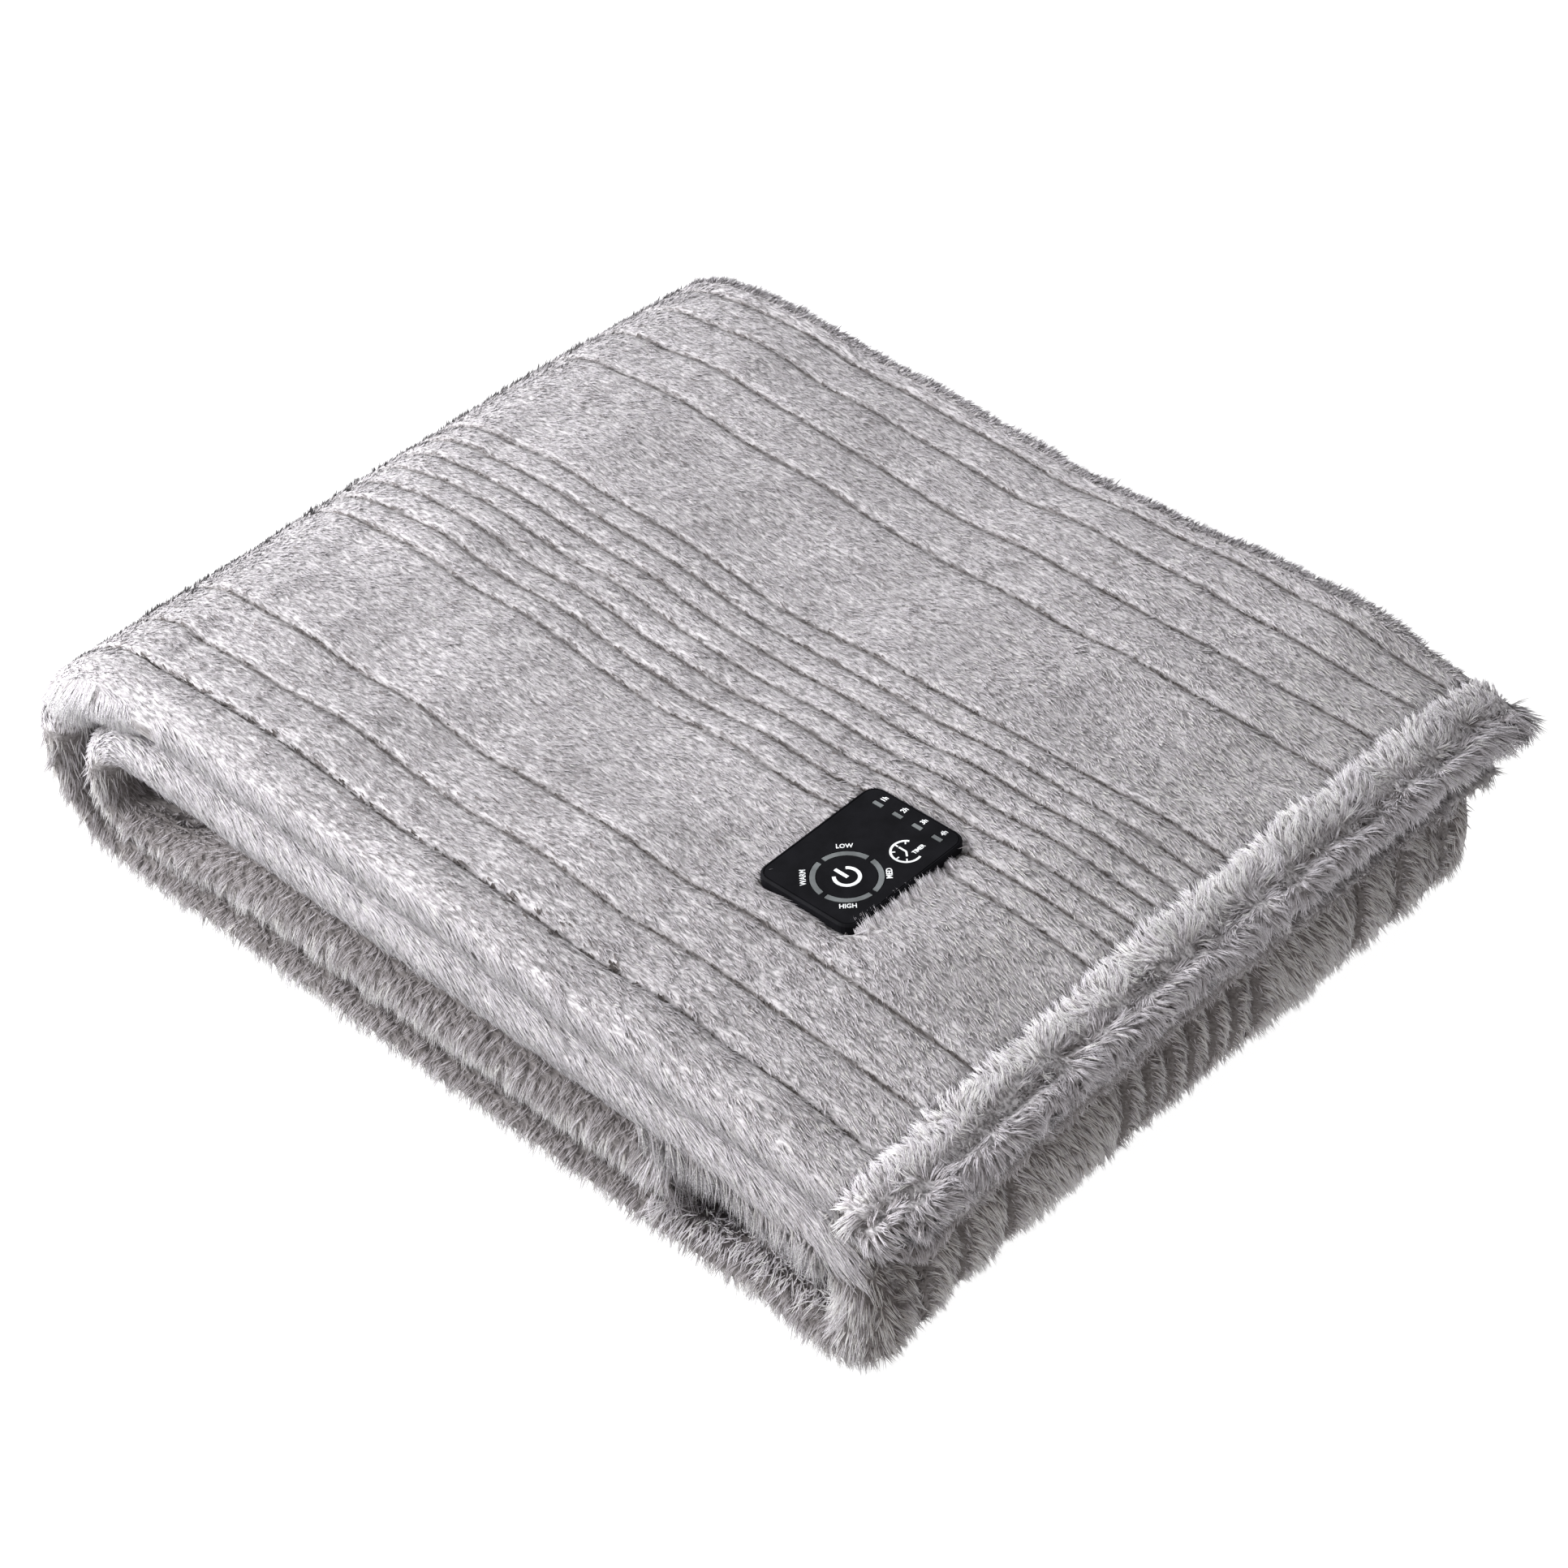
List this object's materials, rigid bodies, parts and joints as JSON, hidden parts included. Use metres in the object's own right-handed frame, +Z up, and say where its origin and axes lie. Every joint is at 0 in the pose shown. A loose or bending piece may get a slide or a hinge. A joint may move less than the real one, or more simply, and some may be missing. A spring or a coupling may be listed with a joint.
{
  "type": "folded electric heated blanket",
  "caption": "Heated throw in ribbed plush, folded in quarters and rolled into a low stack, with a touch control panel set in its upper face near the hem",
  "frame": {"origin": "on the floor, under the middle of the folded stack's bounding box", "axes": "+X along the ribs toward the hem that ends the top layer, +Y across the ribs toward the side with the open edges, +Z up"},
  "size_m": [0.4166, 0.3304, 0.0976],
  "materials": {
    "plush": "light grey long-haired plush, ribs sheared into it",
    "panel_black": "fine matt black",
    "panel_gloss": "satin black touch surface",
    "light_window": "grey translucent light window, unlit"
  },
  "bodies": {
    "root": {"blanket": "plush", "panel_housing": "panel_black", "panel_face": "panel_gloss", "heat_light_low": "light_window", "heat_light_med": "light_window", "heat_light_high": "light_window", "heat_light_warm": "light_window", "timer_light_1h": "light_window", "timer_light_2h": "light_window", "timer_light_3h": "light_window", "timer_light_4h": "light_window"}
  },
  "joints": []
}
